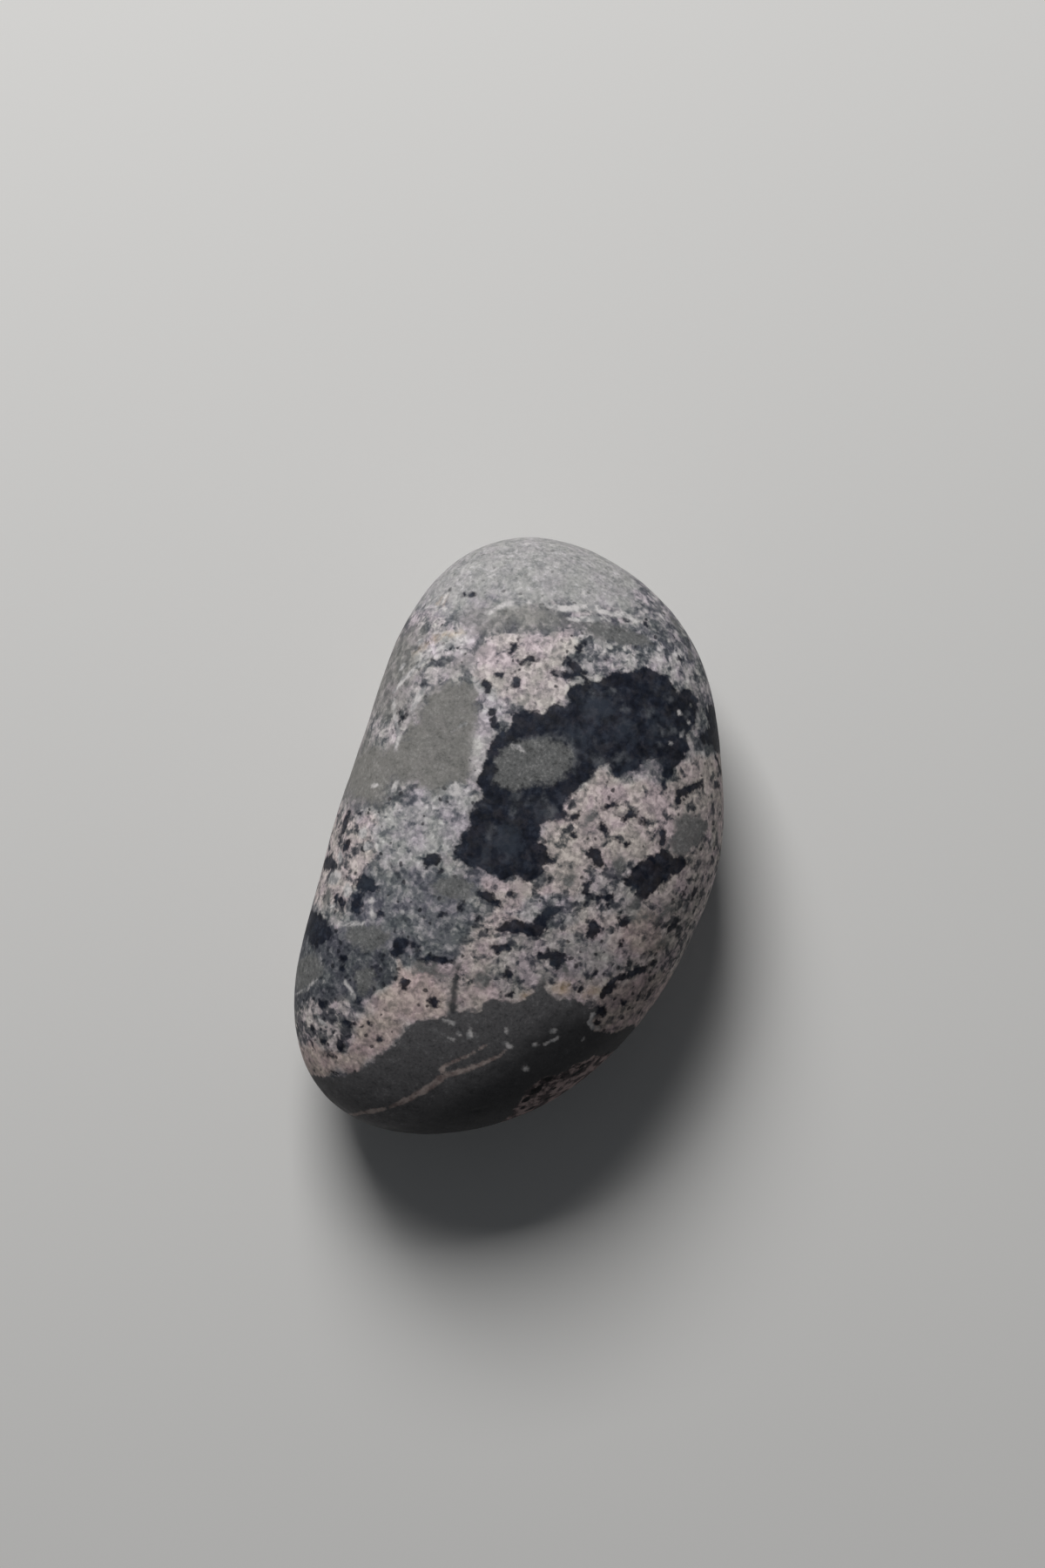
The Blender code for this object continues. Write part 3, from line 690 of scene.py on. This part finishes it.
def scatterSpots(points, fields):
    # small dark and light grains, each its own size, over the sides and underside that the photo hides
    chance = random.Random(stone["seed"])
    lower = np.flatnonzero(points[:, 2] < strays["below"])
    for name, number, smallest, largest in strays["kinds"]:
        for _ in range(number):
            centre = points[lower[chance.randrange(len(lower))]]
            radius = chance.uniform(smallest, largest)
            stretch = np.array([chance.uniform(*strays["stretch"]) for _ in range(3)])
            gap = np.linalg.norm((points - centre) / stretch, axis=1)
            fields[name] = np.maximum(fields[name], np.where(gap < 3 * radius, radius - gap, -stone["far"]))


def wearSkin(skin, fields):
    # gentle waves of wear, small pits and the cracks, all cut into the mesh
    chance = random.Random(stone["seed"] + 1)
    skin.verts.ensure_lookup_table()
    lifts = [0.0] * len(skin.verts)
    places = KDTree(len(skin.verts))
    for index, vertex in enumerate(skin.verts):
        places.insert(vertex.co, index)
        for across, high in stone["swells"]:
            lifts[index] += high * noise.noise(vertex.co / (across * mm))
    places.balance()
    for _ in range(stone["pits"]):
        centre = skin.verts[chance.randrange(len(skin.verts))].co
        radius = chance.uniform(*stone["pitWidth"]) / 2 * mm
        for _, index, gap in places.find_range(centre, radius):
            lifts[index] -= stone["pitDepth"] * (1 - (gap / radius) ** 2)
    cracks = stone["crackDepth"] * eased(fields["crack"], *stone["crackEdge"])
    grooves = stone["grooveDepth"] * eased(fields["patch"], *stone["grooveEdge"])
    skin.normal_update()
    moves = [vertex.normal * (lifts[index] - cracks[index] - grooves[index]) * mm
             for index, vertex in enumerate(skin.verts)]
    for vertex, move in zip(skin.verts, moves):
        vertex.co += move
        vertex.co.z = max(vertex.co.z, 0.0)


def makePebble():
    noise.seed_set(stone["seed"])  # noise vectors take the clock as their seed otherwise
    form = roundedForm()
    skin = fineSkin(form)
    mesh = bpy.data.meshes.new("pebbleStone")
    skin.to_mesh(mesh)
    print("fine skin laid:", len(skin.faces), "faces")
    fields = paintMarks(mesh, form)
    wearSkin(skin, fields)
    skin.to_mesh(mesh)
    skin.free()
    for name, field in fields.items():
        layer = mesh.attributes.new(name, "FLOAT", "POINT")
        layer.data.foreach_set("value", field.astype(np.float32))
    mesh.shade_smooth()
    mesh.materials.append(stoneMaterial())
    pebble = bpy.data.objects.new("pebbleStone", mesh)
    bpy.context.scene.collection.objects.link(pebble)
    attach(pebble, "root")
    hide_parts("pebble")
    print("pebble marked and worn")


minerals = {
    # colours are plain reflectances, each at its place along the noise that picks them
    "grains": (
        (0.00, (0.034, 0.037, 0.047)), (0.24, (0.080, 0.084, 0.096)), (0.44, (0.165, 0.165, 0.175)),
        (0.62, (0.310, 0.292, 0.296)), (0.80, (0.490, 0.450, 0.450)), (1.00, (0.700, 0.650, 0.640)),
    ),
    "cool": (0.97, 1.00, 1.02),
    "warm": (1.06, 0.93, 0.875),
    "tints": ((0.38, (0.965, 1.00, 0.955)), (0.50, (1.00, 1.00, 1.00)), (0.62, (1.02, 0.975, 1.035))),
    "dark": (0.012, 0.014, 0.020),
    "darkCover": 0.8,
    "roughness": (0.55, 0.72),
    "specular": 0.12,
    "bump": (0.35, 0.06),  # strength and depth
    # noises as scale, detail and roughness. Salted is fine and middling noise in these shares.
    "noises": {
        "broad": (0.28, 4.0, 0.60),
        "middling": (0.75, 3.0, 0.60),
        "fine": (2.40, 3.0, 0.65),
        "pores": (5.50, 3.0, 0.60),
    },
    "salted": (0.6, 0.4),
}

# The minerals, and the painted shade on the slate's dark side, in the order that they cover each other.
# Edge is how far it wanders, how much it frays, how soft it is, and how fully the mineral covers. Colours is
# one colour, or stops along a noise.
sageColours = ((0.34, (0.135, 0.134, 0.124)), (0.50, (0.212, 0.205, 0.192)), (0.68, (0.310, 0.300, 0.285)))
layers = {
    "end": {"edge": (2.0, 3.0, 1.80, 0.60), "noise": "salted", "colours": (
        (0.34, (0.175, 0.180, 0.172)), (0.50, (0.330, 0.325, 0.316)), (0.66, (0.570, 0.550, 0.555)))},
    "ochre": {"edge": (1.0, 1.8, 0.80, 0.55), "colours": (0.60, 0.43, 0.27)},
    "veil": {"edge": (2.0, 2.4, 1.60, 0.60), "noise": "salted", "colours": sageColours},
    "sage": {"edge": (3.0, 2.4, 0.80, 0.90), "noise": "salted", "colours": sageColours},
    "navy": {"edge": (1.0, 1.6, 0.30, 0.95), "noise": "middling", "within": "haze", "colours": (
        (0.36, (0.003, 0.0045, 0.010)), (0.52, (0.008, 0.011, 0.021)), (0.68, (0.024, 0.030, 0.046)))},
    "haze": {"edge": (4.0, 4.0, 1.20, 0.70), "colours": (0.034, 0.043, 0.060)},
    "smudge": {"edge": (1.0, 1.6, 0.60, 0.55), "noise": "middling", "colours": (
        (0.36, (0.060, 0.068, 0.080)), (0.62, (0.190, 0.195, 0.205)))},
    "moss": {"edge": (1.4, 2.0, 0.60, 0.92), "noise": "salted", "colours": (
        (0.34, (0.072, 0.074, 0.073)), (0.50, (0.142, 0.143, 0.141)), (0.68, (0.265, 0.262, 0.256)))},
    "slate": {"edge": (1.4, 1.4, 0.26, 1.00), "noise": "salted", "within": "paintedShade", "colours": (
        (0.34, (0.066, 0.065, 0.068)), (0.52, (0.110, 0.107, 0.110)), (0.70, (0.185, 0.180, 0.184)))},
    # painted shade: a dark colour laid within the slate on its side away from the light
    "paintedShade": {"edge": (3.0, 2.0, 3.00, 0.65), "colours": (0.022, 0.023, 0.025)},
    "vein": {"edge": (0.5, 0.8, 0.22, 0.92), "noise": "middling", "colours": (
        (0.36, (0.215, 0.165, 0.155)), (0.62, (0.46, 0.38, 0.35)))},
    "patch": {"edge": (1.4, 1.6, 0.22, 1.00), "noise": "middling", "colours": (
        (0.40, (0.050, 0.038, 0.041)), (0.62, (0.350, 0.265, 0.255)))},
    "clot": {"edge": (0.6, 0.9, 0.26, 0.90), "noise": "middling", "colours": (
        (0.36, (0.26, 0.26, 0.265)), (0.60, (0.64, 0.61, 0.60)))},
    "hole": {"edge": (0.8, 1.2, 0.18, 1.00), "colours": (0.006, 0.006, 0.008)},
    "crack": {"edge": (0.3, 0.6, 0.30, 0.60), "colours": (0.012, 0.014, 0.020)},
}

grain = {
    "edgeScales": (0.42, 1.20),  # of the noises that make a mineral's edge wander, and fray
    "bend": (0.9, 0.8),  # scale, and how far it pushes the grains about
    "lumps": (0.58, 3.0, 0.55),  # scale, detail and roughness
    "salt": (1.70, 2.0, 0.50),
    "cells": (1.15, 0.60),  # scale and smoothness
    "lean": (0.42, -0.71),  # how the share of pale grains widens the lumps
    "lumpEdge": 0.09,
    "level": (0.54, 0.25),  # how bright pale lumps are, and dark ones
    "cellShare": 0.35,
    "grit": (0.25, 0.65),  # what contrast adds to the grit, and the grit without it
    "dots": 0.95,
    "dotChance": (0.6, 0.82),  # what the ground adds to the chance of a dot, and what it has to pass
    "dotWidth": (0.9, 0.30),  # growth, and the widest
    "dotEdge": 0.10,
}


def put(tree, kind, feeds=None, **settings):
    # adds a node, and sets or links each input that feeds names
    made = tree.nodes.new(kind)
    for name, value in settings.items():
        setattr(made, name, value)
    for name, value in (feeds or {}).items():
        if isinstance(value, bpy.types.NodeSocket):
            tree.links.new(value, made.inputs[name])
        else:
            made.inputs[name].default_value = value
    return made


def maths(tree, operation, *values):
    return put(tree, "ShaderNodeMath", dict(enumerate(values)), operation=operation).outputs[0]


def blend(tree, amount, under, over):
    return put(tree, "ShaderNodeMix", {0: amount, 6: under, 7: over}, data_type="RGBA").outputs[2]


def ramp(tree, value, stops):
    made = put(tree, "ShaderNodeValToRGB", {"Fac": value})
    made.color_ramp.interpolation = "EASE"
    while len(made.color_ramp.elements) < len(stops):
        made.color_ramp.elements.new(0.5)
    for element, (place, colour) in zip(made.color_ramp.elements, stops):
        element.position = place
        element.color = (*colour, 1.0)
    return made.outputs["Color"]


def cloud(tree, vector, scale, detail=2.0, roughness=0.5):
    feeds = {"Vector": vector, "Scale": scale, "Detail": detail, "Roughness": roughness}
    return put(tree, "ShaderNodeTexNoise", feeds)


def smoothStep(tree, value, low, high):
    feeds = {"Value": value, "From Min": low, "From Max": high}
    return put(tree, "ShaderNodeMapRange", feeds, interpolation_type="SMOOTHSTEP").outputs["Result"]


def newGroup(name, inputs, outputs):
    tree = bpy.data.node_groups.new(name, "ShaderNodeTree")
    for label, kind in inputs:
        tree.interface.new_socket(label, in_out="INPUT", socket_type=kind)
    for label in outputs:
        tree.interface.new_socket(label, in_out="OUTPUT", socket_type="NodeSocketFloat")
    return tree, tree.nodes.new("NodeGroupInput").outputs, tree.nodes.new("NodeGroupOutput").inputs


def raggedEdge():
    # turns a mineral's distance into a mask with a wandering, frayed edge
    number = "NodeSocketFloat"
    inputs = (("Place", "NodeSocketVector"), ("Distance", number), ("Wander", number), ("Fray", number),
              ("Softness", number))
    tree, given, out = newGroup("raggedEdge", inputs, ("Mask",))
    shifted = given["Distance"]
    for scale, amount in zip(grain["edgeScales"], ("Wander", "Fray")):
        swing = maths(tree, "SUBTRACT", cloud(tree, given["Place"], scale).outputs[0], 0.5)
        shifted = maths(tree, "MULTIPLY_ADD", swing, given[amount], shifted)
    low = maths(tree, "MULTIPLY", given["Softness"], -1.0)
    tree.links.new(smoothStep(tree, shifted, low, given["Softness"]), out["Mask"])
    return tree


def grainMosaic():
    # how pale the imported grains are, and where the dark dots lie, for the ground asked for
    number = "NodeSocketFloat"
    inputs = (("Place", "NodeSocketVector"), ("Pale", number), ("Contrast", number), ("Dots", number))
    tree, given, out = newGroup("grainMosaic", inputs, ("Paleness", "Dark"))
    scale, push = grain["bend"]
    bend = cloud(tree, given["Place"], scale).outputs["Color"]
    away = put(tree, "ShaderNodeVectorMath", {0: bend, 1: (0.5,) * 3}, operation="SUBTRACT").outputs[0]
    pushed = put(tree, "ShaderNodeVectorMath", {0: away, 1: (push,) * 3, 2: given["Place"]},
                 operation="MULTIPLY_ADD").outputs[0]
    lumps = cloud(tree, pushed, *grain["lumps"]).outputs[0]
    salt = cloud(tree, pushed, *grain["salt"]).outputs[0]
    scale, smoothness = grain["cells"]
    cells = put(tree, "ShaderNodeTexVoronoi", {"Vector": pushed, "Scale": scale, "Smoothness": smoothness},
                feature="SMOOTH_F1").outputs["Color"]
    chance = put(tree, "ShaderNodeSeparateColor", {0: cells}).outputs[0]

    # lumps of pale grain take up the share asked for, and at low contrast they melt together
    lean = maths(tree, "MULTIPLY_ADD", given["Pale"], *grain["lean"])
    patches = smoothStep(tree, maths(tree, "ADD", lumps, lean), -grain["lumpEdge"], grain["lumpEdge"])
    apart = maths(tree, "MULTIPLY", maths(tree, "SUBTRACT", patches, given["Pale"]), given["Contrast"])
    level = maths(tree, "MULTIPLY_ADD", maths(tree, "ADD", given["Pale"], apart), *grain["level"])
    grit = maths(tree, "SUBTRACT", salt, 0.5)
    grit = maths(tree, "MULTIPLY_ADD", maths(tree, "SUBTRACT", chance, 0.5), grain["cellShare"], grit)
    strength = maths(tree, "MULTIPLY_ADD", given["Contrast"], *grain["grit"])
    tree.links.new(maths(tree, "MULTIPLY_ADD", grit, strength, level), out["Paleness"])

    # each cell may hold one dot, and its chance sets how wide it is
    spread = put(tree, "ShaderNodeTexVoronoi", {"Vector": pushed, "Scale": grain["dots"]})
    luck = put(tree, "ShaderNodeSeparateColor", {0: spread.outputs["Color"]}).outputs[0]
    share, bar = grain["dotChance"]
    growth, widest = grain["dotWidth"]
    width = maths(tree, "MULTIPLY_ADD", given["Dots"], share, maths(tree, "SUBTRACT", luck, bar))
    width = maths(tree, "MINIMUM", maths(tree, "MULTIPLY", width, growth), widest)
    rim = maths(tree, "SUBTRACT", width, spread.outputs["Distance"])
    tree.links.new(smoothStep(tree, rim, -grain["dotEdge"], grain["dotEdge"]), out["Dark"])
    return tree


def stoneMaterial():
    material = bpy.data.materials.new("mottledStone")
    material.use_nodes = True
    tree = material.node_tree
    shader = tree.nodes["Principled BSDF"]
    coordinates = put(tree, "ShaderNodeTexCoord").outputs["Object"]
    place = put(tree, "ShaderNodeMapping", {"Vector": coordinates, "Scale": (1 / mm,) * 3}).outputs[0]
    edgeGroup = raggedEdge()
    grainGroup = grainMosaic()

    def stored(name):
        return put(tree, "ShaderNodeAttribute", attribute_name=name).outputs["Fac"]

    def stoneNoise(name):
        return cloud(tree, place, *minerals["noises"][name]).outputs[0]

    broad, middling, fine = (stoneNoise(name) for name in ("broad", "middling", "fine"))
    fineShare, middlingShare = minerals["salted"]
    salted = maths(tree, "MULTIPLY_ADD", fine, fineShare, maths(tree, "MULTIPLY", middling, middlingShare))
    picks = {"middling": middling, "salted": salted}

    def coloured(name):
        layer = layers[name]
        if "noise" in layer:
            return ramp(tree, picks[layer["noise"]], layer["colours"])
        return (*layer["colours"], 1)

    def laid(name, under, over):
        # one mineral over another, inside its own marks
        wander, fray, softness, cover = layers[name]["edge"]
        feeds = {"Place": place, "Distance": stored(name)}
        feeds.update({"Wander": wander, "Fray": fray, "Softness": softness})
        mask = put(tree, "ShaderNodeGroup", feeds, node_tree=edgeGroup).outputs["Mask"]
        return blend(tree, maths(tree, "MULTIPLY", mask, cover), under, over)

    feeds = {"Place": place, "Pale": stored("pale"), "Contrast": stored("contrast"), "Dots": stored("dots")}
    grains = put(tree, "ShaderNodeGroup", feeds, node_tree=grainGroup).outputs
    colour = ramp(tree, grains["Paleness"], minerals["grains"])
    warmth = blend(tree, stored("warm"), (*minerals["cool"], 1), (*minerals["warm"], 1))
    for tint in (warmth, ramp(tree, broad, minerals["tints"])):
        colour = put(tree, "ShaderNodeMix", {0: 1.0, 6: colour, 7: tint}, data_type="RGBA",
                     blend_type="MULTIPLY").outputs[2]
    dots = maths(tree, "MULTIPLY", grains["Dark"], minerals["darkCover"])
    colour = blend(tree, dots, colour, (*minerals["dark"], 1))

    inner = {layer["within"] for layer in layers.values() if "within" in layer}
    for name, layer in layers.items():
        if name in inner:
            continue
        over = coloured(name)
        if "within" in layer:
            over = laid(layer["within"], over, coloured(layer["within"]))
        colour = laid(name, colour, over)
    tree.links.new(colour, shader.inputs["Base Color"])

    low, high = minerals["roughness"]
    feeds = {"Value": fine, "From Min": 0.3, "From Max": 0.7, "To Min": low, "To Max": high}
    rough = put(tree, "ShaderNodeMapRange", feeds)
    tree.links.new(rough.outputs["Result"], shader.inputs["Roughness"])
    strength, depth = minerals["bump"]
    feeds = {"Strength": strength, "Distance": depth * mm, "Height": stoneNoise("pores")}
    tree.links.new(put(tree, "ShaderNodeBump", feeds).outputs["Normal"], shader.inputs["Normal"])
    shader.inputs["Specular IOR Level"].default_value = minerals["specular"]
    return material


studio = {
    "floorSize": 3.0,
    "floorColour": (0.74, 0.73, 0.71),
    "floorRoughness": 0.9,
    "lightFrom": (-0.55, 0.84),  # level direction towards the soft light
    "lightDistance": 0.9,
    "lightHeight": 42.0,  # degrees
    "lightSize": 0.40,
    "lightPower": 7.6,
    "skyColour": (0.80, 0.84, 0.90),
    "skyStrength": 0.08,
}


def makeStudio():
    scene = bpy.context.scene
    grid = bmesh.new()
    bmesh.ops.create_grid(grid, x_segments=1, y_segments=1, size=studio["floorSize"] / 2)
    mesh = bpy.data.meshes.new("studioFloor")
    grid.to_mesh(mesh)
    grid.free()
    paper = bpy.data.materials.new("palePaper")
    paper.use_nodes = True
    inputs = paper.node_tree.nodes["Principled BSDF"].inputs
    inputs["Base Color"].default_value = (*studio["floorColour"], 1)
    inputs["Roughness"].default_value = studio["floorRoughness"]
    mesh.materials.append(paper)
    floor = bpy.data.objects.new("studioFloor", mesh)
    scene.collection.objects.link(floor)

    lamp = bpy.data.lights.new("softLight", "AREA")
    lamp.size = studio["lightSize"]
    lamp.energy = studio["lightPower"]
    light = bpy.data.objects.new("softLight", lamp)
    scene.collection.objects.link(light)
    tilt = math.radians(studio["lightHeight"])
    level = Vector(studio["lightFrom"]).normalized() * math.cos(tilt)
    light.location = Vector((level.x, level.y, math.sin(tilt))) * studio["lightDistance"]
    light.rotation_euler = light.location.to_track_quat("Z", "Y").to_euler()

    sky = bpy.data.worlds.new("softSky")
    sky.use_nodes = True
    sky.node_tree.nodes["Background"].inputs["Color"].default_value = (*studio["skyColour"], 1)
    sky.node_tree.nodes["Background"].inputs["Strength"].default_value = studio["skyStrength"]
    scene.world = sky
    scene.view_settings.view_transform = "Standard"
    print("studio ready")


def makeCamera():
    lens = bpy.data.cameras.new("pictureCamera")
    lens.sensor_fit = "VERTICAL"
    lens.sensor_height = view["sensor"]
    lens.lens = view["sensor"] * view["distance"] / view["tall"]
    camera = bpy.data.objects.new("pictureCamera", lens)
    camera.location = Vector((*view["aim"], stone["widest"] + view["distance"])) * mm
    camera.rotation_euler = (0, 0, math.radians(view["turn"]))
    bpy.context.scene.collection.objects.link(camera)
    bpy.context.scene.camera = camera
    print("camera overhead")


makePebble()
makeStudio()
makeCamera()

bpy.context.view_layer.update()
